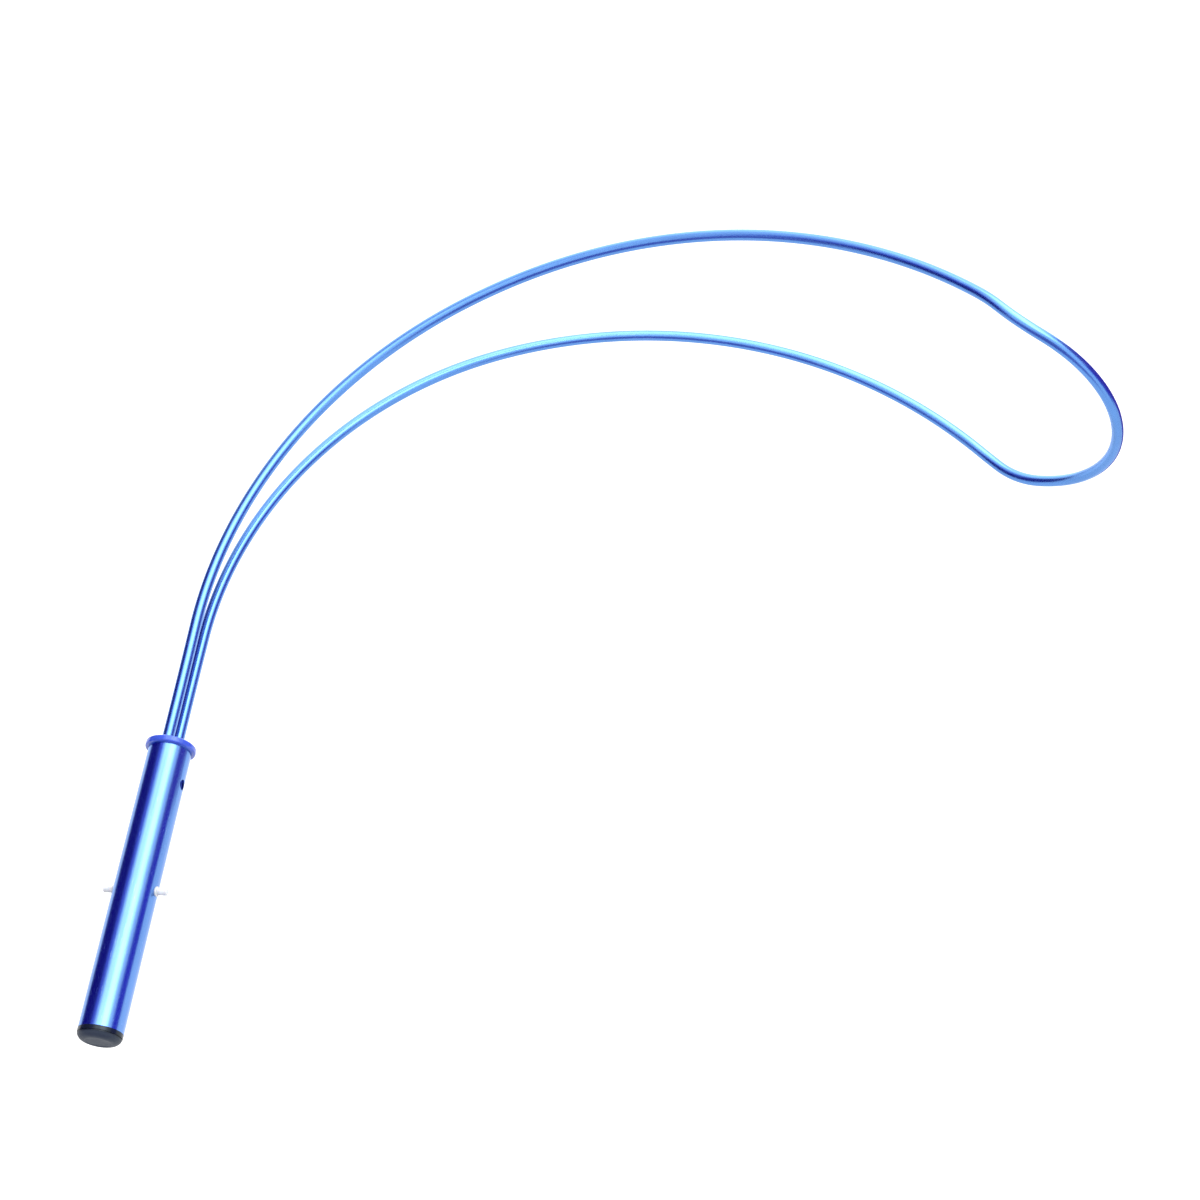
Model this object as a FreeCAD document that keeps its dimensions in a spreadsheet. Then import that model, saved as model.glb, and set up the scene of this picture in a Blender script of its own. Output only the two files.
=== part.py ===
"""Pool rescue hook: a closed loop of round bar on a tubular handle that snaps into a telescopic pole.

Millimetres. The origin is on the handle's axis, where the underside of the collar's flange meets the tube.
+Z runs up the handle towards the hook, +X is the way the crook reaches, and Y is the width of the loop.
"""

import FreeCAD, Part
import math
import os

import Sketcher
from FreeCAD import Placement, Rotation, Vector

# alias, value, meaning
DIMENSIONS = [
    # handle tube
    ("tube_od", 29.0, "outside diameter of the handle tube, a slip fit in a 31.8 mm pole"),
    ("tube_wall", 1.3, "wall of the handle tube"),
    ("tube_length", 195.0, "from the collar's flange to the end cap's rim"),
    ("cross_hole_d", 7.0, "hole for a bolt through pole, tube and collar"),
    ("cross_hole_depth", 24.0, "centre of that hole below the flange"),
    ("button_hole_d", 7.0, "hole that guides a snap button's shoulder"),
    ("button_depth", 100.0, "centre of the snap buttons below the flange"),
    # collar
    ("flange_od", 34.0, "outside diameter of the collar's flange"),
    ("flange_height", 4.6, "thickness of the flange"),
    ("flange_round", 1.2, "rounding of the flange's upper edge"),
    ("flange_lower_round", 1.6, "rounding of the flange's lower edge"),
    ("boss_height", 1.3, "raised oval around both legs, above the flange"),
    ("boss_wall", 2.0, "width of that oval beyond the bar"),
    ("boss_round", 0.7, "rounding of the oval's upper edge"),
    ("plug_length", 42.0, "part of the collar that is inside the tube"),
    ("slip", 0.05, "radial clearance of pieces that are pushed together"),
    ("leg_socket_depth", 38.0, "depth of the sockets for the bar's legs below the flange's underside"),
    # hook bar: side profile, seen along Y
    ("bar_d", 8.0, "diameter of the bar"),
    ("neck_length", 92.0, "straight part of the side profile above the flange's underside"),
    ("shank_radius", 294.0, "first bend of the crook"),
    ("shank_angle", 62.0, "turn of the first bend"),
    ("crook_radius", 330.0, "second bend of the crook"),
    ("crook_angle", 71.0, "turn of the second bend"),
    ("tip_radius", 88.0, "bend the other way, before the nose"),
    ("tip_angle", 22.0, "turn of that bend"),
    # hook bar: flat outline, before it is bent to the side profile
    ("leg_half_gap", 8.2, "half the distance between the legs' centres"),
    ("leg_straight", 32.0, "parallel part of the legs above the flange's underside"),
    ("spread_radius", 2820.0, "gentle curve that opens the rails"),
    ("spread_angle", 8.5, "angle of each rail to the middle, once open"),
    ("rail_straight", 356.0, "straight part of each rail before the bow"),
    # end cap
    ("cap_rim_height", 6.9, "visible height of the end cap"),
    ("cap_round", 5.6, "rounding of the cap's rim"),
    ("cap_dish", 0.25, "depth of the shallow dish in the end face"),
    ("cap_dish_d", 16.4, "diameter of the dish"),
    ("cap_groove_start", 2.7, "from the tube's end down to the groove around the cap"),
    ("cap_groove_width", 0.5, "width of the groove"),
    ("cap_groove_depth", 0.6, "depth of the groove, from the tube's outside"),
    ("cap_plug_length", 14.0, "part of the cap that is inside the tube"),
    ("cap_wall", 1.8, "wall of the cap's plug"),
    ("cap_rib_height", 0.3, "height of the two sealing ribs"),
    ("cap_rib_width", 0.9, "width of each rib"),
    ("cap_rib_start", 4.0, "first rib above the tube's end"),
    # spring clip
    ("clip_width", 8.0, "width of the clip's strip"),
    ("clip_thickness", 1.2, "thickness of the strip"),
    ("clip_pad_x", 12.2, "outer face of a button's pad, from the axis"),
    ("clip_pad_length", 12.0, "length of a button's pad"),
    ("clip_half_angle", 10.5, "angle of each leaf to the handle's axis"),
    ("leaf_gap", 0.35, "clearance between a leaf's end and its button's pad"),
    ("bow_radius", 3.4, "middle radius of the clip's bow"),
    ("shoulder_d", 6.7, "diameter of a button's shoulder"),
    ("shoulder_x", 15.2, "outer face of the shoulder, from the axis"),
    ("pin_d", 4.6, "diameter of a button's pin"),
    ("pin_x", 21.9, "tip of the pin, from the axis"),
    ("pin_chamfer", 0.5, "chamfer of the pin's tip"),
]

# longest run of bar between two stations, and the largest turn of the bow between two
STATION_SPACING = 60.0
STATION_TURN = math.radians(15)

SHEET = "Dimensions"

# expressions that several sub-parts share
BORE = "(Dimensions.tube_od / 2 - Dimensions.tube_wall)"
BUTTON_Z = "-Dimensions.button_depth"
PAD_TOP = "(Dimensions.clip_pad_length / 2 - Dimensions.button_depth)"
PAD_MIDDLE = "(Dimensions.clip_pad_x - Dimensions.clip_thickness / 2)"
LEAN = "Dimensions.clip_half_angle"
LEAF_LENGTH = f"(({PAD_MIDDLE} - Dimensions.bow_radius * cos({LEAN} * 1deg)) / sin({LEAN} * 1deg))"
BOW_CENTRE = f"{PAD_TOP} + {LEAF_LENGTH} * cos({LEAN} * 1deg) - Dimensions.bow_radius * sin({LEAN} * 1deg)"


def size(doc, alias):
    """A driving dimension, read from the sheet."""
    return float(doc.getObject(SHEET).get(alias))


def make_sheet(doc):
    """The spreadsheet that drives every sub-part."""
    sheet = doc.addObject("Spreadsheet::Sheet", SHEET)
    for row, (alias, value, meaning) in enumerate(DIMENSIONS, start=1):
        sheet.set(f"A{row}", meaning)
        sheet.set(f"B{row}", str(value))
        sheet.setAlias(f"B{row}", alias)
    doc.recompute()
    return sheet


def make_body(doc, name):
    body = doc.addObject("PartDesign::Body", name)
    body.Label = name
    return body


def add_sketch(body, name, role, offset=None):
    """A sketch on one of the body's origin planes; offset binds parts of its attachment to the sheet."""
    sketch = body.newObject("Sketcher::SketchObject", name)
    plane = next(feature for feature in body.Origin.OriginFeatures if feature.Role == role)
    sketch.AttachmentSupport = [(plane, "")]
    sketch.MapMode = "FlatFace"
    for path, expression in (offset or {}).items():
        sketch.setExpression(f"AttachmentOffset.{path}", expression)
    return sketch


def constrain(sketch, name, expression, kind, *places):
    """A named dimension bound to the sheet."""
    index = sketch.addConstraint(Sketcher.Constraint(kind, *places, 1.0))
    sketch.renameConstraint(index, name)
    sketch.setExpression(f"Constraints.{name}", expression)


def add_circle(sketch, name, radius, along_y=None):
    """A circle at the sketch's origin, or on its vertical axis, above the origin or below it."""
    sign = 0 if along_y is None else along_y[0]
    circle = sketch.addGeometry(Part.Circle(Vector(0, sign, 0), Vector(0, 0, 1), 1.0))
    constrain(sketch, f"{name}_radius", radius, "Radius", circle)
    if along_y is None:
        sketch.addConstraint(Sketcher.Constraint("Coincident", circle, 3, -1, 1))
        return
    sketch.addConstraint(Sketcher.Constraint("PointOnObject", circle, 3, -2))
    ends = (-1, 1, circle, 3) if sign > 0 else (circle, 3, -1, 1)
    constrain(sketch, f"{name}_offset", along_y[1], "DistanceY", *ends)


def add_rectangle(sketch, width, height, standing=False):
    """A rectangle about the sketch's origin, or standing on it."""
    low = 0 if standing else -1
    corners = [Vector(-1, low, 0), Vector(1, low, 0), Vector(1, 1, 0), Vector(-1, 1, 0)]
    for index, corner in enumerate(corners):
        sketch.addGeometry(Part.LineSegment(corner, corners[(index + 1) % 4]))
    for index in range(4):
        sketch.addConstraint(Sketcher.Constraint("Coincident", index, 2, (index + 1) % 4, 1))
        sketch.addConstraint(Sketcher.Constraint("Vertical" if index % 2 else "Horizontal", index))
    constrain(sketch, "width", width, "DistanceX", 0, 1, 0, 2)
    constrain(sketch, "height", height, "DistanceY", 1, 1, 1, 2)
    far_corner = (0, 2) if standing else (2, 1)
    sketch.addConstraint(Sketcher.Constraint("Symmetric", 0, 1, *far_corner, -1, 1))


def add_slot(sketch, name, half_length, radius):
    """A stadium about the sketch's origin, along its vertical axis."""
    across = Vector(0, 0, 1)
    top = Part.ArcOfCircle(Part.Circle(Vector(0, 1, 0), across, 1.0), 0, math.pi)
    left = Part.LineSegment(Vector(-1, 1, 0), Vector(-1, -1, 0))
    bottom = Part.ArcOfCircle(Part.Circle(Vector(0, -1, 0), across, 1.0), math.pi, 2 * math.pi)
    right = Part.LineSegment(Vector(1, -1, 0), Vector(1, 1, 0))
    for geometry in (top, left, bottom, right):
        sketch.addGeometry(geometry)
    for index in range(4):
        sketch.addConstraint(Sketcher.Constraint("Tangent", index, 2, (index + 1) % 4, 1))
    sketch.addConstraint(Sketcher.Constraint("Symmetric", 0, 3, 2, 3, -1, 1))
    sketch.addConstraint(Sketcher.Constraint("Equal", 0, 2))
    sketch.addConstraint(Sketcher.Constraint("PointOnObject", 0, 3, -2))
    constrain(sketch, f"{name}_radius", radius, "Radius", 0)
    constrain(sketch, f"{name}_offset", half_length, "DistanceY", -1, 1, 0, 3)


def add_pad(body, name, sketch, length, reverse=False, symmetric=False):
    pad = body.newObject("PartDesign::Pad", name)
    pad.Profile = sketch
    pad.Reversed = reverse
    if symmetric:
        pad.SideType = "Symmetric"
    pad.setExpression("Length", length)
    return pad


def add_pocket(body, name, sketch, length, second_length=None, reverse=False):
    """A pocket into the solid, in one direction or, with a second length, in both."""
    pocket = body.newObject("PartDesign::Pocket", name)
    pocket.Profile = sketch
    pocket.Reversed = reverse
    pocket.setExpression("Length", length)
    if second_length:
        pocket.SideType = "Two sides"
        pocket.setExpression("Length2", second_length)
    return pocket


def add_cross_hole(body, name, diameter, depth):
    """A round hole along X through both sides, below the flange."""
    sketch = add_sketch(body, f"{name}_sketch", "YZ_Plane")
    add_circle(sketch, name, f"{diameter} / 2", (-1, depth))
    half = "Dimensions.flange_od / 2"
    return add_pocket(body, name, sketch, half, half)


def round_edges(body, name, base, radius, kind, picks):
    """A fillet or chamfer of the circular edges that lie at one of the picked (axis, height, radius)."""
    edges = []
    for index, edge in enumerate(base.Shape.Edges, start=1):
        if not isinstance(edge.Curve, Part.Circle):
            continue
        for axis, height, edge_radius in picks:
            at_height = abs(edge.Curve.Center.dot(axis) - height) < 1e-3
            if at_height and abs(edge.Curve.Radius - edge_radius) < 1e-3:
                edges.append(f"Edge{index}")
    feature = body.newObject(f"PartDesign::{kind}", name)
    feature.Base = (base, edges)
    feature.setExpression("Radius" if kind == "Fillet" else "Size", radius)
    return feature


def make_handle_tube(doc):
    """Anodised tube with a cross hole and two button holes, all along X."""
    body = make_body(doc, "handle_tube")
    ring = add_sketch(body, "tube_ring", "XY_Plane")
    add_circle(ring, "outer", "Dimensions.tube_od / 2")
    add_circle(ring, "inner", BORE)
    add_pad(body, "tube_wall", ring, "Dimensions.tube_length", reverse=True)
    add_cross_hole(body, "cross_hole", "Dimensions.cross_hole_d", "Dimensions.cross_hole_depth")
    add_cross_hole(body, "button_holes", "Dimensions.button_hole_d", "Dimensions.button_depth")
    return body


def make_collar(doc):
    """Moulded flange, boss and plug, with a socket for each leg of the bar and a cross hole between them."""
    body = make_body(doc, "collar")
    disc = add_sketch(body, "flange_outline", "XY_Plane")
    add_circle(disc, "flange", "Dimensions.flange_od / 2")
    add_pad(body, "flange", disc, "Dimensions.flange_height")
    oval = add_sketch(body, "boss_outline", "XY_Plane", {"Base.z": "Dimensions.flange_height"})
    boss_radius = "Dimensions.bar_d / 2 + Dimensions.boss_wall"
    add_slot(oval, "boss", "Dimensions.leg_half_gap", boss_radius)
    add_pad(body, "boss", oval, "Dimensions.boss_height")
    core = add_sketch(body, "plug_outline", "XY_Plane")
    add_circle(core, "plug", f"{BORE} - Dimensions.slip")
    add_pad(body, "plug", core, "Dimensions.plug_length", reverse=True)
    sockets = add_sketch(body, "leg_socket_outlines", "XY_Plane")
    for name, sign in (("near", -1), ("far", 1)):
        radius = "Dimensions.bar_d / 2 + Dimensions.slip"
        add_circle(sockets, f"{name}_leg", radius, (sign, "Dimensions.leg_half_gap"))
    depths = ("Dimensions.leg_socket_depth", "Dimensions.flange_height + Dimensions.boss_height")
    add_pocket(body, "leg_sockets", sockets, *depths)
    hole = add_cross_hole(body, "cross_hole", "Dimensions.cross_hole_d", "Dimensions.cross_hole_depth")
    doc.recompute()
    up = Vector(0, 0, 1)
    flange_radius = size(doc, "flange_od") / 2
    upper = [(up, size(doc, "flange_height"), flange_radius)]
    boss_top = size(doc, "flange_height") + size(doc, "boss_height")
    boss_edge = [(up, boss_top, size(doc, "bar_d") / 2 + size(doc, "boss_wall"))]
    lower = [(up, 0.0, flange_radius)]
    rounded = round_edges(body, "upper_round", hole, "Dimensions.flange_round", "Fillet", upper)
    doc.recompute()
    rounded = round_edges(body, "lower_round", rounded, "Dimensions.flange_lower_round", "Fillet", lower)
    doc.recompute()
    round_edges(body, "boss_round", rounded, "Dimensions.boss_round", "Fillet", boss_edge)
    return body


def make_end_cap(doc):
    """Black plug with a grooved, rounded rim flush with the tube, a shallow dish below and two ribs."""
    body = make_body(doc, "end_cap")
    at_end = {"Base.z": "-Dimensions.tube_length"}
    plug_radius = f"{BORE} - Dimensions.cap_rib_height"
    rim = add_sketch(body, "rim_outline", "XY_Plane", at_end)
    add_circle(rim, "rim", "Dimensions.tube_od / 2")
    add_pad(body, "rim", rim, "Dimensions.cap_rim_height", reverse=True)
    plug = add_sketch(body, "plug_ring", "XY_Plane", at_end)
    add_circle(plug, "plug", plug_radius)
    add_circle(plug, "plug_bore", f"{plug_radius} - Dimensions.cap_wall")
    add_pad(body, "plug", plug, "Dimensions.cap_plug_length")
    rib = add_sketch(body, "rib_ring", "XY_Plane", {"Base.z": "Dimensions.cap_rib_start - Dimensions.tube_length"})
    add_circle(rib, "rib", f"{BORE} - Dimensions.slip")
    add_circle(rib, "rib_bore", f"{plug_radius} - Dimensions.cap_wall / 2")
    rib_pad = add_pad(body, "rib", rib, "Dimensions.cap_rib_width")
    ribs = body.newObject("PartDesign::LinearPattern", "ribs")
    ribs.Originals = [rib_pad]
    ribs.Direction = (rib, ["N_Axis"])
    ribs.setExpression("Length", "Dimensions.cap_plug_length / 3")
    ribs.Occurrences = 2
    body.Tip = ribs
    face_z = {"Base.z": "-Dimensions.tube_length - Dimensions.cap_rim_height"}
    dish = add_sketch(body, "dish_outline", "XY_Plane", face_z)
    add_circle(dish, "dish", "Dimensions.cap_dish_d / 2")
    dished = add_pocket(body, "dish", dish, "Dimensions.cap_dish", reverse=True)
    doc.recompute()
    face_depth = size(doc, "tube_length") + size(doc, "cap_rim_height")
    rim_edge = [(Vector(0, 0, -1), face_depth, size(doc, "tube_od") / 2)]
    round_edges(body, "rim_round", dished, "Dimensions.cap_round", "Fillet", rim_edge)
    groove_z = {"Base.z": "-Dimensions.tube_length - Dimensions.cap_groove_start"}
    ring = add_sketch(body, "groove_ring", "XY_Plane", groove_z)
    add_circle(ring, "groove_outside", "Dimensions.tube_od")
    add_circle(ring, "groove_floor", "Dimensions.tube_od / 2 - Dimensions.cap_groove_depth")
    add_pocket(body, "groove", ring, "Dimensions.cap_groove_width")
    return body


def make_clip_bow(doc):
    """The bend of the clip's strip, over the top, between the two leaves."""
    # each leaf is a tangent of the bend, so the bend stops short of a half turn by twice their lean
    across = Rotation(Vector(1, 0, 0), 90)
    leaning = Rotation(Vector(0, 1, 0), -size(doc, "clip_half_angle")).multiply(across)
    rings = []
    for name, sign, turn in (("bow_outside", "+", leaning), ("bow_inside", "-", across)):
        ring = doc.addObject("Part::Cylinder", name)
        ring.Placement = Placement(Vector(), turn)
        ring.setExpression("Radius", f"Dimensions.bow_radius {sign} Dimensions.clip_thickness / 2")
        ring.setExpression("Height", "Dimensions.clip_width")
        ring.setExpression("Placement.Base.y", "Dimensions.clip_width / 2")
        ring.setExpression("Placement.Base.z", BOW_CENTRE)
        rings.append(ring)
    outside, inside = rings
    outside.setExpression("Angle", "180 - 2 * Dimensions.clip_half_angle")
    bow = doc.addObject("Part::Cut", "clip_bow")
    bow.Base = outside
    bow.Tool = inside
    bow.Label = "clip_bow"
    return bow


def make_clip_leaf(doc, name, turn):
    """A flat leaf of the clip, from the bow down and out to its button's pad."""
    body = make_body(doc, name)
    start = {"Base.x": PAD_MIDDLE, "Base.y": f"{PAD_TOP} + Dimensions.leaf_gap", "Rotation.Angle": LEAN}
    side = add_sketch(body, f"{name}_side", "XZ_Plane", start)
    add_rectangle(side, "Dimensions.clip_thickness", f"{LEAF_LENGTH} - Dimensions.leaf_gap", standing=True)
    add_pad(body, f"{name}_strip", side, "Dimensions.clip_width", symmetric=True)
    body.Placement = Placement(Vector(), Rotation(Vector(0, 0, 1), turn))
    return body


def make_snap_button(doc, name, turn):
    """A pad inside the tube, a shoulder that the tube's hole guides, and the pin that locks the pole."""
    body = make_body(doc, name)
    inside = "Dimensions.clip_pad_x - Dimensions.clip_thickness"
    steps = (
        ("shoulder", "Dimensions.shoulder_d / 2", "Dimensions.clip_pad_x", "Dimensions.shoulder_x"),
        ("pin", "Dimensions.pin_d / 2", "Dimensions.shoulder_x", "Dimensions.pin_x"),
    )
    plate = add_sketch(body, f"{name}_pad", "YZ_Plane", {"Base.y": BUTTON_Z, "Base.z": inside})
    add_rectangle(plate, "Dimensions.clip_width", "Dimensions.clip_pad_length")
    add_pad(body, f"{name}_plate", plate, "Dimensions.clip_thickness")
    for step, radius, start, end in steps:
        circle = add_sketch(body, f"{name}_{step}_outline", "YZ_Plane", {"Base.y": BUTTON_Z, "Base.z": start})
        add_circle(circle, step, radius)
        last = add_pad(body, f"{name}_{step}", circle, f"{end} - {start}")
    doc.recompute()
    tip = [(Vector(1, 0, 0), size(doc, "pin_x"), size(doc, "pin_d") / 2)]
    chamfered = round_edges(body, f"{name}_tip", last, "Dimensions.pin_chamfer", "Chamfer", tip)
    doc.recompute()
    rim = [(Vector(1, 0, 0), size(doc, "shoulder_x"), size(doc, "shoulder_d") / 2)]
    round_edges(body, f"{name}_rim", chamfered, "Dimensions.pin_chamfer", "Fillet", rim)
    body.Placement = Placement(Vector(), Rotation(Vector(0, 0, 1), turn))
    return body


def follow(segments, start, heading, distance):
    """Point and heading at a distance along runs given as (length, curvature), in a plane."""
    x, y = start
    for length, curvature in segments:
        step = min(distance, length)
        turned = heading + curvature * step
        if curvature:
            x += (math.sin(turned) - math.sin(heading)) / curvature
            y -= (math.cos(turned) - math.cos(heading)) / curvature
        else:
            x += step * math.cos(heading)
            y += step * math.sin(heading)
        heading = turned
        distance -= step
        if distance <= 0:
            break
    return x, y, heading


def side_profile(doc):
    """Runs of the crook seen along Y, from the foot of the legs."""
    shank, crook, tip = (size(doc, f"{name}_radius") for name in ("shank", "crook", "tip"))
    turns = [math.radians(size(doc, f"{name}_angle")) for name in ("shank", "crook", "tip")]
    return [
        (size(doc, "leg_socket_depth") + size(doc, "neck_length"), 0),
        (shank * turns[0], -1 / shank),
        (crook * turns[1], -1 / crook),
        (tip * turns[2], 1 / tip),
        (math.inf, 0),
    ]


def flat_outline(doc):
    """Runs of one rail in the flat, from the foot of its leg to the middle of the bow."""
    spread = size(doc, "spread_radius")
    opening = math.radians(size(doc, "spread_angle"))
    runs = [
        (size(doc, "leg_socket_depth") + size(doc, "leg_straight"), 0),
        (spread * opening, 1 / spread),
        (size(doc, "rail_straight"), 0),
    ]
    half_width = follow(runs, (0, size(doc, "leg_half_gap")), 0, math.inf)[1]
    # the bow is the arc that leaves the rail smoothly and crosses the middle at a right angle
    bow = half_width / math.cos(opening)
    return runs + [(bow * (math.pi / 2 + opening), -1 / bow)]


def rail_stations(doc):
    """Points and directions along the rail on the -Y side, from its foot to the middle of the bow."""
    outline = flat_outline(doc)
    profile = side_profile(doc)
    stations = []
    travelled = 0
    for length, curvature in outline:
        spacing = STATION_TURN / abs(curvature) if curvature else STATION_SPACING
        count = math.ceil(length / min(spacing, STATION_SPACING))
        first = 1 if stations else 0
        for index in range(first, count + 1):
            stations.append(travelled + length * index / count)
        travelled += length
    rail = []
    for distance in stations:
        along, aside, turn = follow(outline, (0, size(doc, "leg_half_gap")), 0, distance)
        reach, height, slope = follow(profile, (0, -size(doc, "leg_socket_depth")), math.pi / 2, along)
        point = Vector(reach, -aside, height)
        direction = Vector(
            math.cos(turn) * math.cos(slope), -math.sin(turn), math.cos(turn) * math.sin(slope)
        )
        rail.append((point, direction))
    return rail


def arc_or_line(start, corner, end):
    """The arc that touches both arms of a corner at equal distances, or a line if there is no corner."""
    middle = (start + end) * 0.5
    height = (corner - middle).Length
    if height < 1e-6:
        return Part.LineSegment(start, end).toShape()
    half_chord = (end - start).Length / 2
    rise = half_chord * math.tan(math.atan2(height, half_chord) / 2)
    return Part.Arc(start, middle + (corner - middle) * (rise / height), end).toShape()


def tangent_pair(start, end):
    """Two arcs that join two stations and meet smoothly, as edges."""
    (point_a, way_a), (point_b, way_b) = start, end
    chord = point_b - point_a
    along = chord.dot(way_a + way_b)
    spread = 2 * (1 - way_a.dot(way_b))
    reach = chord.dot(chord) / (along + math.sqrt(along**2 + spread * chord.dot(chord)))
    corner_a = point_a + way_a * reach
    corner_b = point_b - way_b * reach
    joint = (corner_a + corner_b) * 0.5
    return [arc_or_line(point_a, corner_a, joint), arc_or_line(joint, corner_b, point_b)]


def make_hook_bar(doc):
    """One round bar, bent to the flat loop and over the crook's profile, swept along smooth arcs."""
    rail = rail_stations(doc)
    other = [(Vector(p.x, -p.y, p.z), Vector(-d.x, d.y, -d.z)) for p, d in reversed(rail[:-1])]
    stations = rail + other
    edges = []
    for start, end in zip(stations, stations[1:]):
        edges += tangent_pair(start, end)
    path = doc.addObject("Part::Feature", "bar_path")
    path.Shape = Part.Wire(edges)
    section = doc.addObject("Part::Circle", "bar_section")
    section.setExpression("Radius", "Dimensions.bar_d / 2")
    section.setExpression("Placement.Base.y", "-Dimensions.leg_half_gap")
    section.setExpression("Placement.Base.z", "-Dimensions.leg_socket_depth")
    bar = doc.addObject("Part::Sweep", "hook_bar")
    bar.Sections = [section]
    bar.Spine = (path, [f"Edge{index}" for index in range(1, len(edges) + 1)])
    bar.Solid = True
    bar.Frenet = False
    bar.Label = "hook_bar"
    return bar


def check(doc, parts):
    """Stop if anything failed to build."""
    for item in doc.Objects:
        if "Invalid" in item.State or "Error" in item.State:
            raise RuntimeError(f"{item.Label} failed: {item.State}")
    for part in parts:
        if part.Shape.isNull() or not part.Shape.isValid() or not part.Shape.Solids:
            raise RuntimeError(f"{part.Label} has no valid solid")


def main():
    doc = FreeCAD.newDocument("pool_rescue_hook")
    make_sheet(doc)
    parts = [make_hook_bar(doc), make_collar(doc), make_handle_tube(doc), make_end_cap(doc), make_clip_bow(doc)]
    for side, turn in (("front", 0), ("rear", 180)):
        parts.append(make_clip_leaf(doc, f"clip_leaf_{side}", turn))
        parts.append(make_snap_button(doc, f"snap_button_{side}", turn))
    doc.recompute()
    check(doc, parts)
    os.makedirs("parts", exist_ok=True)
    for part in parts:
        part.Shape.exportStep(os.path.join("parts", f"{part.Label}.step"))
        box = part.Shape.BoundBox
        print(f"{part.Label}: {part.Shape.Volume:.0f} mm3, {len(part.Shape.Solids)} solid, {box}")
    path_length = doc.getObject("bar_path").Shape.Length
    section_area = math.pi * size(doc, "bar_d") ** 2 / 4
    print(f"bar path {path_length:.1f} mm, section times length {path_length * section_area:.0f} mm3")


main()
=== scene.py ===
"""Looks of the pool rescue hook: fine meshes, finishes, a plain studio and the camera.

Everything is in metres and in the CAD model's frame.
"""

import math

import bpy
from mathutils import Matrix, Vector


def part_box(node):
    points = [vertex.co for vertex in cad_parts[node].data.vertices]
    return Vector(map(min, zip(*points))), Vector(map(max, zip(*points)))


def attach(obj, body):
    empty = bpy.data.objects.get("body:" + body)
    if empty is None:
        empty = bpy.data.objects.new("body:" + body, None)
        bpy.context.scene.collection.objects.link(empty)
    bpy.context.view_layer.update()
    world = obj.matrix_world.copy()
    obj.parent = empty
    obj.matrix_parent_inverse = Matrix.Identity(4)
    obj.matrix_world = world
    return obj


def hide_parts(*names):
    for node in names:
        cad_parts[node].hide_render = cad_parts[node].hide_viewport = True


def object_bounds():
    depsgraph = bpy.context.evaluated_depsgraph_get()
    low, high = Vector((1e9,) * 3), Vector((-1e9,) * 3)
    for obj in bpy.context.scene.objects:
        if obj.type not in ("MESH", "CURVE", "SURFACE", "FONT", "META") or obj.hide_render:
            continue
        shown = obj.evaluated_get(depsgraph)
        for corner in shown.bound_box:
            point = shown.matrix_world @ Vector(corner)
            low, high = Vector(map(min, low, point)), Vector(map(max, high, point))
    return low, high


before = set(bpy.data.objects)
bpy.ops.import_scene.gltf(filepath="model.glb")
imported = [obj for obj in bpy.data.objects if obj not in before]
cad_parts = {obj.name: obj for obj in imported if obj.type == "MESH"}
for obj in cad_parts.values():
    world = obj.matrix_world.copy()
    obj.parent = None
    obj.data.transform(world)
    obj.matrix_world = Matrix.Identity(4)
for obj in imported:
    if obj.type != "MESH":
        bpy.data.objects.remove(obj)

CAD_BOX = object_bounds()

# camera: low on the -Y side, looking up at the hook
CAMERA_AT = (0.55997, -1.21542, -0.58338)
CAMERA_TURN = (119.866, -7.007, 9.076)
CAMERA_LENS = 64.095
SENSOR = 36.0

# studio: a white room with a plain floor
WHITE = 1.5
FLOOR_Z = -0.8
FLOOR_HALF_SIDE = 6.0
FLOOR_GREY = (0.62, 0.63, 0.65)
FLOOR_ROUGHNESS = 0.9

# soft lights: name, azimuth, elevation, degrees wide, degrees high, radiance, distance
SOFTBOXES = (
    ("key_wide", 20, 8, 59, 100, 2.0, 5.0),
    ("key_core", 27, 12, 24, 80, 2.2, 4.8),
    ("overhead", 25, 82, 80, 80, 0.9, 4.7),
)

# cards that give the metal its dark bands; the upright ones: name, place of each foot, top, colour
CARD_FOOT = FLOOR_Z + 0.05
LEFT_CORNER = (-0.68, -0.96)
UPRIGHT_CARDS = (
    ("card_left", LEFT_CORNER, (-1.25, 0.1), 1.0, (0.03, 0.01, 0.27)),
    ("card_left_edge", (-0.36, -1.12), LEFT_CORNER, 1.0, (0.25, 0.2, 0.9)),
    ("card_right", (2.84, -1.06), (2.6, 0.64), 2.2, (0.12, 0.07, 0.75)),
)
NOSE_CARD = ((0.97, -0.36, 0.26), (0.66, 0.42, 0.28), (0.66, 0.42, 0.76), (0.97, -0.36, 0.64))
NOSE_CARD_COLOUR = (0.2, 0.08, 0.55)
LOW_CARD_X = (-0.8, 1.0)
LOW_CARD_Y = (-0.82, 0.26)
LOW_CARD_COLOUR = (0.32, 0.28, 0.72)

# colours of the pieces
BAR_BLUE = (0.118, 0.272, 0.61)
TUBE_BLUE = (0.125, 0.26, 0.60)
RUBBED_METAL = (0.42, 0.52, 0.78)
COLLAR_BLUE = (0.030, 0.060, 0.37)
COLLAR_SHINE = (0.45, 0.7, 1.0, 1.0)
CAP_BLACK = (0.004, 0.006, 0.011)
CAP_SHINE = (0.75, 0.88, 1.0, 1.0)
# painted light: a paler grey for the cap's lower end, standing in for light from the floor
CAP_FLOOR_LIT_GREY = (0.022, 0.029, 0.042)
ACETAL_WHITE = (0.46, 0.47, 0.49)

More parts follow.
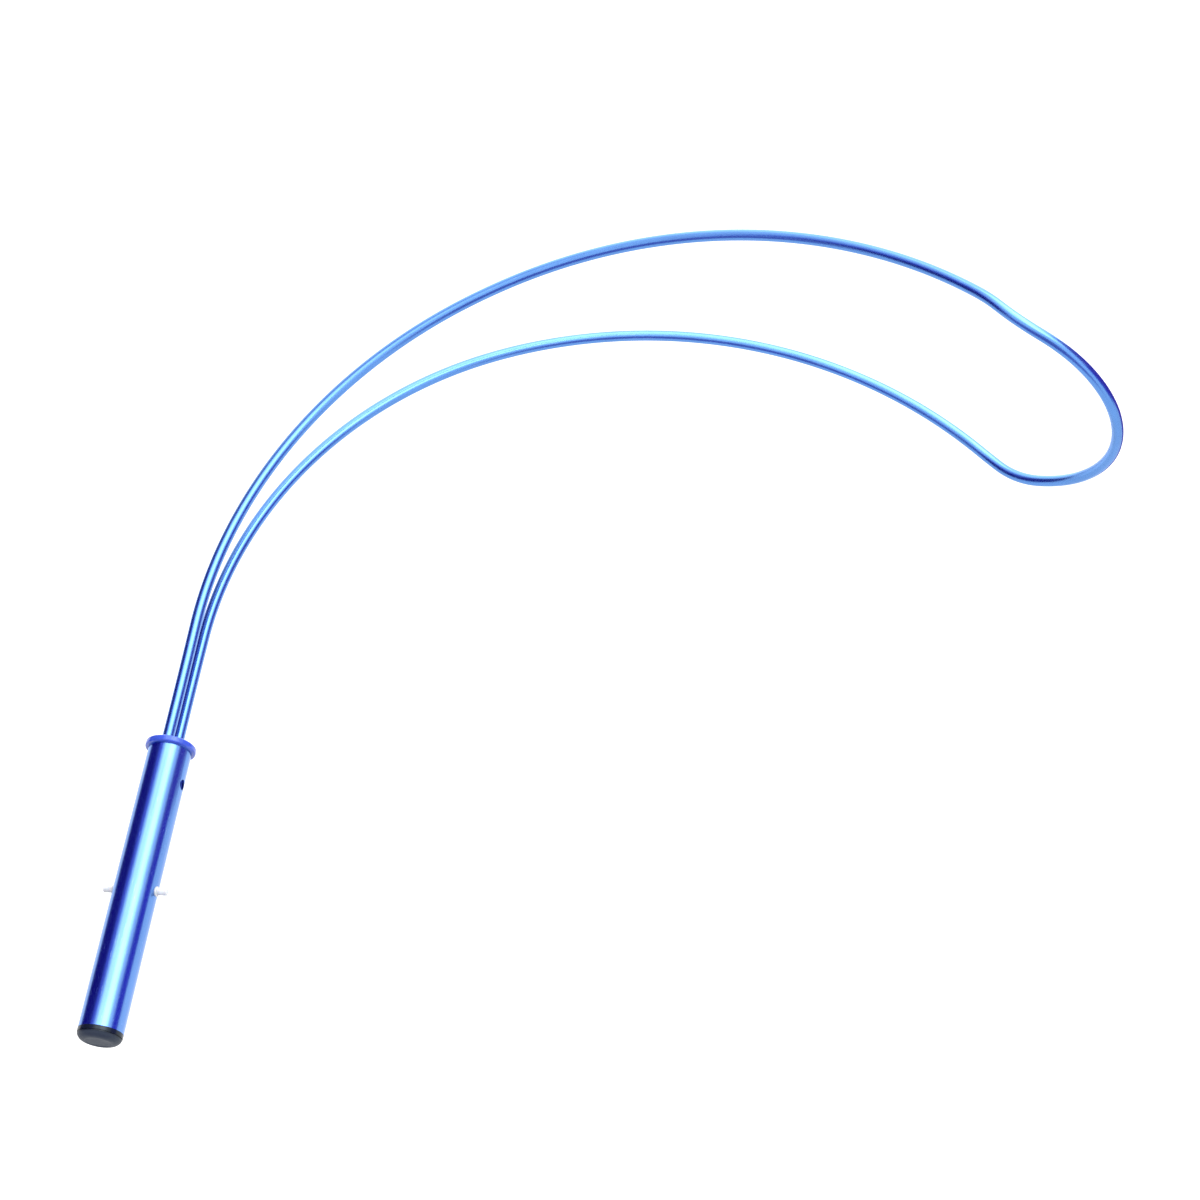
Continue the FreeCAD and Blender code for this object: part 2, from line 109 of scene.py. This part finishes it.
# the bar's centreline: bends as (radius, degrees), then the flat outline before it is bent
BAR_RADIUS = 0.004
NECK = 0.092
SHANK_BEND = (0.294, 62.0)
CROOK_BEND = (0.330, 71.0)
TIP_BEND = (0.088, 22.0)
LEG_HALF_GAP = 0.0082
LEG_STRAIGHT = 0.032
SPREAD_RADIUS = 2.820
SPREAD_ANGLE = 8.5
RAIL_STRAIGHT = 0.356

# the end cap: its round rim, the dish in its face, the groove around it and its plug with two ribs
CAP_ROUND = 0.0056
CAP_EDGE_ROUND = 0.0003
DISH_DEPTH = 0.00025
DISH_RADIUS = 0.0082
DISH_SLOPE = 0.0004
GROOVE_START = 0.0027
GROOVE_WIDTH = 0.0005
GROOVE_DEPTH = 0.0006
TUBE_WALL = 0.0013
PLUG_WALL = 0.0018
RIB_HEIGHT = 0.0003
RIB_CLEARANCE = 0.00005
RIB_WIDTH = 0.0009
RIB_START = 0.004
RIB_PITCH = 0.014 / 3
RIB_COUNT = 2

# heights between which the cap's painted floor light grows from none to full
CAP_FLOOR_LIT_FROM = -0.1979
CAP_FLOOR_LIT_TO = -0.1992

# fineness of the meshes
BAR_STEPS = 256
BAR_AROUND = 32
LATHE_AROUND = 128
RIM_STEPS_BELOW_GROOVE = 16
RIM_STEPS_ABOVE_GROOVE = 6
EDGE_STEPS = 4
SHARP_DEGREES = 40

# name of the attribute that says where a point of the bar would be if the bar were straight
STRAIGHT = "straight"

CLIP_NODES = ("clip_bow", "clip_leaf_front", "clip_leaf_rear", "snap_button_front", "snap_button_rear")


def link(obj):
    bpy.context.scene.collection.objects.link(obj)
    return obj


# finishes


class Finish:
    """A material under construction: short calls that add nodes and wire them."""

    def __init__(self, name, colour, roughness, metallic=0.0):
        self.material = bpy.data.materials.new(name)
        self.material.use_nodes = True
        self.tree = self.material.node_tree
        self.shader = self.tree.nodes["Principled BSDF"]
        self.set("Base Color", (*colour, 1))
        self.set("Roughness", roughness)
        self.set("Metallic", metallic)

    def set(self, socket, value):
        """A shader input: a constant, or another node's output."""
        self._feed(self.shader.inputs[socket], value)

    def add(self, kind, inputs, output=0, **settings):
        """A new node's output."""
        node = self.tree.nodes.new(kind)
        for name, value in settings.items():
            setattr(node, name, value)
        for socket, value in inputs.items():
            self._feed(node.inputs[socket], value)
        return node.outputs[output]

    def _feed(self, socket, value):
        if isinstance(value, bpy.types.NodeSocket):
            self.tree.links.new(value, socket)
        else:
            socket.default_value = value

    def place(self, straightened=False):
        """Where a point is, in metres: in the frame, or along the bar as if it were straight."""
        if straightened:
            return self.add("ShaderNodeAttribute", {}, "Vector", attribute_name=STRAIGHT)
        return self.add("ShaderNodeTexCoord", {}, "Object")

    def noise(self, place, across, along=None, detail=2.0):
        """Noise whose features are about this size, in metres, across and along Z."""
        along = along or across
        density = (1 / across, 1 / across, 1 / along)
        scaled = self.add("ShaderNodeVectorMath", {0: place, 1: density}, operation="MULTIPLY")
        return self.add("ShaderNodeTexNoise", {"Vector": scaled, "Scale": 1.0, "Detail": detail})

    def ramp(self, value, start, end, low=0.0, high=1.0):
        """The value from start to end, stretched to run from low to high."""
        ends = {"Value": value, "From Min": start, "From Max": end, "To Min": low, "To Max": high}
        return self.add("ShaderNodeMapRange", ends)

    def blend(self, factor, first, second):
        """Between two colours."""
        node = self.tree.nodes.new("ShaderNodeMix")
        node.data_type = "RGBA"
        colours = [socket for socket in node.inputs if socket.type == "RGBA"]
        self._feed(node.inputs[0], factor)
        self._feed(colours[0], first)
        self._feed(colours[1], second)
        return next(socket for socket in node.outputs if socket.type == "RGBA")

    def uneven(self, value, start, end, colour, share):
        """A colour that runs from darker to lighter by a share, as the value runs from start to end."""
        darker = (*(channel * (1 - share) for channel in colour), 1)
        lighter = (*(channel * (1 + share) for channel in colour), 1)
        return self.blend(self.ramp(value, start, end), darker, lighter)

    def total(self, first, second):
        return self.add("ShaderNodeMath", {0: first, 1: second}, operation="ADD")

    def times(self, first, second):
        return self.add("ShaderNodeMath", {0: first, 1: second}, operation="MULTIPLY")

    def relief(self, height, depth, under=None):
        """Bump of a height from 0 to 1 that is depth metres deep."""
        inputs = {"Height": height, "Distance": depth, "Strength": 1.0}
        if under:
            inputs["Normal"] = under
        return self.add("ShaderNodeBump", inputs)


def anodised(name, tint, roughness, straightened=False):
    """Dyed aluminium, drawn lengthwise: die lines, an uneven dye, a soft ripple, a few rubbed streaks."""
    finish = Finish(name, tint, roughness, metallic=1.0)
    place = finish.place(straightened)
    die_lines = finish.noise(place, across=0.0003, along=0.03)
    streaks = finish.noise(place, across=0.0014, along=0.12)
    ripple = finish.noise(place, across=0.012, along=0.08, detail=1.0)
    dye = finish.noise(place, across=0.035, detail=1.0)
    rubs = finish.noise(place, across=0.0007, along=0.012, detail=3.0)
    paler_mask = finish.ramp(rubs, start=0.66, end=0.76)
    depth = finish.total(finish.times(dye, 0.6), finish.times(streaks, 0.4))
    dyed = finish.uneven(depth, start=0.35, end=0.65, colour=tint, share=0.06)
    finish.set("Base Color", finish.blend(finish.times(paler_mask, 0.35), dyed, (*RUBBED_METAL, 1)))
    fine = finish.ramp(die_lines, start=0.3, end=0.7, low=roughness - 0.025, high=roughness + 0.025)
    finish.set("Roughness", finish.total(fine, finish.times(paler_mask, 0.1)))
    rippled = finish.relief(ripple, depth=0.00002)
    finish.set("Normal", finish.relief(die_lines, depth=0.000002, under=rippled))
    return finish.material


def moulded(name, colour, roughness, grain, floor_lit_end=None):
    """Moulded plastic with a fine skin, faint flow marks and, where asked, a paler and duller end of
    painted light.

    The lit end is (height where the painted light starts, height where it is full, colour).
    """
    finish = Finish(name, colour, roughness)
    place = finish.place()
    skin = finish.noise(place, across=grain, detail=3.0)
    flow = finish.noise(place, across=0.006)
    tone = finish.uneven(flow, start=0.35, end=0.65, colour=colour, share=0.1)
    rough = finish.ramp(flow, start=0.3, end=0.7, low=roughness - 0.04, high=roughness + 0.04)
    if floor_lit_end:
        # painted light: the lower end turns paler and duller in patches, standing in for light from the
        # floor
        top, bottom, paler = floor_lit_end
        height = finish.add("ShaderNodeSeparateXYZ", {"Vector": place}, "Z")
        patches = finish.noise(place, across=0.0011, detail=4.0)
        patchy = finish.ramp(patches, start=0.4, end=0.7, low=0.75)
        paler_mask = finish.times(patchy, finish.ramp(height, start=top, end=bottom))
        tone = finish.blend(paler_mask, tone, (*paler, 1))
        rough = finish.total(rough, finish.times(paler_mask, 0.35))
    finish.set("Base Color", tone)
    finish.set("Roughness", rough)
    finish.set("Normal", finish.relief(skin, depth=grain * 0.02))
    return finish


def cap_plastic():
    # the cap's lower end gets painted floor light: a paler grey in patches
    cap_floor_lit_end = (CAP_FLOOR_LIT_FROM, CAP_FLOOR_LIT_TO, CAP_FLOOR_LIT_GREY)
    finish = moulded("cap_plastic", CAP_BLACK, roughness=0.2, grain=0.00025, floor_lit_end=cap_floor_lit_end)
    finish.set("Specular IOR Level", 0.34)
    finish.set("Specular Tint", CAP_SHINE)
    return finish.material


def collar_plastic():
    finish = moulded("collar_plastic", COLLAR_BLUE, roughness=0.12, grain=0.0003)
    finish.set("Specular IOR Level", 0.6)
    finish.set("Specular Tint", COLLAR_SHINE)
    finish.set("Coat Weight", 0.4)
    return finish.material


def acetal():
    finish = moulded("acetal", ACETAL_WHITE, roughness=0.34, grain=0.0002)
    finish.set("Subsurface Weight", 0.08)
    finish.set("Subsurface Scale", 0.001)
    return finish.material


def dress(node, material):
    """A CAD piece keeps its shape and gets this finish."""
    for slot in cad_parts[node].material_slots:
        slot.material = material


# camera and studio


def make_camera():
    data = bpy.data.cameras.new("camera")
    data.lens = CAMERA_LENS
    data.sensor_width = SENSOR
    camera = link(bpy.data.objects.new("camera", data))
    camera.location = CAMERA_AT
    camera.rotation_euler = [math.radians(angle) for angle in CAMERA_TURN]
    bpy.context.scene.camera = camera


def compass(azimuth, elevation):
    """Direction from the hook: azimuth 0 is -Y and 90 is +X."""
    turn, rise = math.radians(azimuth), math.radians(elevation)
    return Vector((math.sin(turn) * math.cos(rise), -math.cos(turn) * math.cos(rise), math.sin(rise)))


def span(distance, degrees):
    """Width that covers an angle at a distance."""
    return 2 * distance * math.tan(math.radians(degrees / 2))


def softbox(name, centre, azimuth, elevation, wide, high, radiance, distance):
    """A rectangular soft light that covers wide by high degrees, seen from the centre."""
    data = bpy.data.lights.new(name, "AREA")
    data.shape = "RECTANGLE"
    data.size = span(distance, wide)
    data.size_y = span(distance, high)
    data.energy = radiance * math.pi * data.size * data.size_y
    light = link(bpy.data.objects.new(name, data))
    direction = compass(azimuth, elevation)
    light.location = centre + direction * distance
    light.rotation_euler = direction.to_track_quat("Z", "Y").to_euler()


def card(name, corners, colour):
    """A flat sheet of one even tone, seen only in reflections."""
    mesh = bpy.data.meshes.new(name)
    mesh.from_pydata(corners, [], [(0, 1, 2, 3)])
    material = bpy.data.materials.new(name)
    material.use_nodes = True
    nodes = material.node_tree.nodes
    nodes.clear()
    glow = nodes.new("ShaderNodeEmission")
    glow.inputs["Color"].default_value = (*colour, 1)
    out = nodes.new("ShaderNodeOutputMaterial")
    material.node_tree.links.new(glow.outputs[0], out.inputs["Surface"])
    mesh.materials.append(material)
    obj = link(bpy.data.objects.new(name, mesh))
    obj.visible_camera = False
    obj.visible_diffuse = False
    obj.visible_shadow = False


def make_cards():
    """Upright cards to the left and right, one beyond the nose and one lying just above the floor."""
    for name, (ax, ay), (bx, by), top, colour in UPRIGHT_CARDS:
        card(name, [(ax, ay, CARD_FOOT), (bx, by, CARD_FOOT), (bx, by, top), (ax, ay, top)], colour)
    card("card_nose", NOSE_CARD, NOSE_CARD_COLOUR)
    (left, right), (near, far) = LOW_CARD_X, LOW_CARD_Y
    plan = [(left, near), (right, near), (right, far), (left, far)]
    card("card_below", [(x, y, CARD_FOOT) for x, y in plan], LOW_CARD_COLOUR)


def make_floor(centre):
    half = FLOOR_HALF_SIDE
    plan = [(-half, -half), (half, -half), (half, half), (-half, half)]
    mesh = bpy.data.meshes.new("floor")
    mesh.from_pydata([(centre.x + x, centre.y + y, FLOOR_Z) for x, y in plan], [], [(0, 1, 2, 3)])
    floor = link(bpy.data.objects.new("floor", mesh))
    finish = Finish("floor", FLOOR_GREY, FLOOR_ROUGHNESS)
    finish.set("Specular IOR Level", 0.0)
    mesh.materials.append(finish.material)


def make_studio():
    lo, hi = CAD_BOX
    centre = (lo + hi) / 2
    world = bpy.data.worlds.new("white_room")
    bpy.context.scene.world = world
    world.use_nodes = True
    background = world.node_tree.nodes["Background"]
    background.inputs["Color"].default_value = (1, 1, 1, 1)
    background.inputs["Strength"].default_value = WHITE
    for name, *settings in SOFTBOXES:
        softbox(name, centre, *settings)
    make_cards()
    make_floor(centre)
    bpy.context.scene.view_settings.view_transform = "Standard"


# meshes


def make_mesh(name, points, faces, material):
    """A smooth mesh in the frame, from points and faces."""
    mesh = bpy.data.meshes.new(name)
    mesh.from_pydata(points, [], faces)
    mesh.validate()
    mesh.shade_smooth()
    mesh.materials.append(material)
    return link(bpy.data.objects.new(name, mesh))


def tube_faces(rings, around):
    """Quads between closed rings of points, one after the other."""
    faces = []
    for ring in range(rings - 1):
        for index in range(around):
            following = (index + 1) % around
            first, second = ring * around, (ring + 1) * around
            faces.append((first + index, first + following, second + following, second + index))
    return faces


def follow(runs, start, heading, distance):
    """Point and heading at a distance along runs given as (length, curvature), in a plane."""
    x, y = start
    for length, curvature in runs:
        step = min(distance, length)
        turned = heading + curvature * step
        if curvature:
            x += (math.sin(turned) - math.sin(heading)) / curvature
            y -= (math.cos(turned) - math.cos(heading)) / curvature
        else:
            x += step * math.cos(heading)
            y += step * math.sin(heading)
        heading = turned
        distance -= step
        if distance <= 0:
            break
    return x, y, heading


def crook_profile(foot):
    """The bar seen from the side: up the neck, over the shank's and the crook's bends, out at the tip."""
    profile = [(NECK - foot, 0)]
    profile += [(radius * math.radians(turn), -1 / radius) for radius, turn in (SHANK_BEND, CROOK_BEND)]
    tip_radius, tip_turn = TIP_BEND
    profile += [(tip_radius * math.radians(tip_turn), 1 / tip_radius), (math.inf, 0)]
    return profile


def half_outline(foot):
    """Half of the bar laid flat: a straight leg, the spread, a straight rail and its share of the bow."""
    opening = math.radians(SPREAD_ANGLE)
    outline = [(LEG_STRAIGHT - foot, 0), (SPREAD_RADIUS * opening, 1 / SPREAD_RADIUS), (RAIL_STRAIGHT, 0)]
    bow = follow(outline, (0, LEG_HALF_GAP), 0, math.inf)[1] / math.cos(opening)
    outline.append((bow * (math.pi / 2 + opening), -1 / bow))
    return outline


def bar_centreline():
    """Points and directions from the foot of one leg to the foot of the other, and their spacing."""
    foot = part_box("hook_bar")[0].z
    profile, outline = crook_profile(foot), half_outline(foot)
    half_length = sum(length for length, _ in outline)
    near = []
    for step in range(BAR_STEPS + 1):
        along, aside, turn = follow(outline, (0, LEG_HALF_GAP), 0, half_length * step / BAR_STEPS)
        reach, height, slope = follow(profile, (0, foot), math.pi / 2, along)
        point = Vector((reach, -aside, height))
        way = Vector((math.cos(turn) * math.cos(slope), -math.sin(turn), math.cos(turn) * math.sin(slope)))
        near.append((point, way))
    far = [(Vector((p.x, -p.y, p.z)), Vector((-w.x, w.y, -w.z))) for p, w in reversed(near[:-1])]
    return near + far, half_length / BAR_STEPS


def make_bar(material):
    """The hook's round bar as one smooth run of rings that don't twist."""
    stations, spacing = bar_centreline()
    side = Vector((1, 0, 0))
    points, straight = [], []
    for index, (centre, way) in enumerate(stations):
        side = (side - way * side.dot(way)).normalized()
        across = way.cross(side)
        for step in range(BAR_AROUND):
            angle = 2 * math.pi * step / BAR_AROUND
            x, y = BAR_RADIUS * math.cos(angle), BAR_RADIUS * math.sin(angle)
            points.append(centre + side * x + across * y)
            straight.append((x, y, index * spacing))
    faces = tube_faces(len(stations), BAR_AROUND)
    faces.append(tuple(reversed(range(BAR_AROUND))))
    faces.append(tuple(range(len(points) - BAR_AROUND, len(points))))
    bar = make_mesh("bar", points, faces, material)
    attribute = bar.data.attributes.new(STRAIGHT, "FLOAT_VECTOR", "POINT")
    attribute.data.foreach_set("vector", [value for place in straight for value in place])
    return bar


def arc(radius, centre, start, end, steps):
    """Points (r, z) of an arc about a centre, from one angle to another, in degrees."""
    points = []
    for step in range(steps + 1):
        angle = math.radians(start + (end - start) * step / steps)
        points.append((centre[0] + radius * math.cos(angle), centre[1] + radius * math.sin(angle)))
    return points


def turn_about_z(name, profile, material):
    """A closed surface of revolution from a profile (r, z) that starts and ends on the axis."""
    points, faces = [Vector((0, 0, profile[0][1]))], []
    for radius, height in profile[1:-1]:
        for step in range(LATHE_AROUND):
            angle = 2 * math.pi * step / LATHE_AROUND
            points.append(Vector((radius * math.cos(angle), radius * math.sin(angle), height)))
    rings = len(profile) - 2
    for face in tube_faces(rings, LATHE_AROUND):
        faces.append(tuple(index + 1 for index in face))
    top = len(points)
    points.append(Vector((0, 0, profile[-1][1])))
    for step in range(LATHE_AROUND):
        following = (step + 1) % LATHE_AROUND
        faces.append((0, 1 + following, 1 + step))
        faces.append((top, top - LATHE_AROUND + step, top - LATHE_AROUND + following))
    obj = make_mesh(name, points, faces, material)
    obj.data.set_sharp_from_angle(angle=math.radians(SHARP_DEGREES))
    keep_flats = obj.modifiers.new("keep_flats", "WEIGHTED_NORMAL")
    keep_flats.keep_sharp = True
    return obj


def angle_at(height, centre):
    """The angle, in degrees, at which the cap's round about this centre is at a height."""
    return -math.degrees(math.asin((centre[1] - height) / CAP_ROUND))


def cap_side(rim, face, mouth):
    """The cap's round side, from its face up to the tube's mouth, with the groove around it."""
    centre = (rim - CAP_ROUND, face + CAP_ROUND)
    groove_top = mouth - GROOVE_START
    groove_bottom = mouth - (GROOVE_START + GROOVE_WIDTH)
    side = arc(CAP_ROUND, centre, -90, angle_at(groove_bottom, centre), RIM_STEPS_BELOW_GROOVE)
    side += [(rim - GROOVE_DEPTH, groove_bottom), (rim - GROOVE_DEPTH, groove_top)]
    side += arc(CAP_ROUND, centre, angle_at(groove_top, centre), 0, RIM_STEPS_ABOVE_GROOVE)
    edge_centre = (rim - CAP_EDGE_ROUND, mouth - CAP_EDGE_ROUND)
    return side + arc(CAP_EDGE_ROUND, edge_centre, 0, 90, EDGE_STEPS)


def cap_plug(rim, mouth, end):
    """The cap's hollow plug inside the tube: up over the ribs to its end, then down its bore."""
    tube_bore = rim - TUBE_WALL
    outer = tube_bore - RIB_HEIGHT
    crest = tube_bore - RIB_CLEARANCE
    plug = [(outer, mouth)]
    for index in range(RIB_COUNT):
        bottom = mouth + (RIB_START + index * RIB_PITCH)
        top = bottom + RIB_WIDTH
        plug += [(outer, bottom), (crest, bottom), (crest, top), (outer, top)]
    inner = outer - PLUG_WALL
    return plug + [(outer, end), (inner, end), (inner, mouth), (0.0, mouth)]


def make_cap(material):
    """The end cap, turned about the handle's axis: dished face, grooved round side, ribbed plug."""
    lo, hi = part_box("end_cap")
    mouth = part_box("handle_tube")[0].z
    rim = hi.x
    face = lo.z
    dish = face + DISH_DEPTH
    profile = [(0.0, dish), (DISH_RADIUS - DISH_SLOPE, dish), (DISH_RADIUS, face)]
    profile += cap_side(rim, face, mouth)
    profile += cap_plug(rim, mouth, hi.z)
    return turn_about_z("cap", profile, material)


def stand_for(piece, node):
    """The piece rides where the CAD node does and is shown instead of it."""
    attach(piece, "hook")
    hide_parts(node)


make_camera()
make_studio()
stand_for(make_bar(anodised("bar_anodised", BAR_BLUE, roughness=0.27, straightened=True)), "hook_bar")
stand_for(make_cap(cap_plastic()), "end_cap")
dress("handle_tube", anodised("tube_anodised", TUBE_BLUE, roughness=0.22))
dress("collar", collar_plastic())
white_plastic = acetal()
for clip_node in CLIP_NODES:
    dress(clip_node, white_plastic)
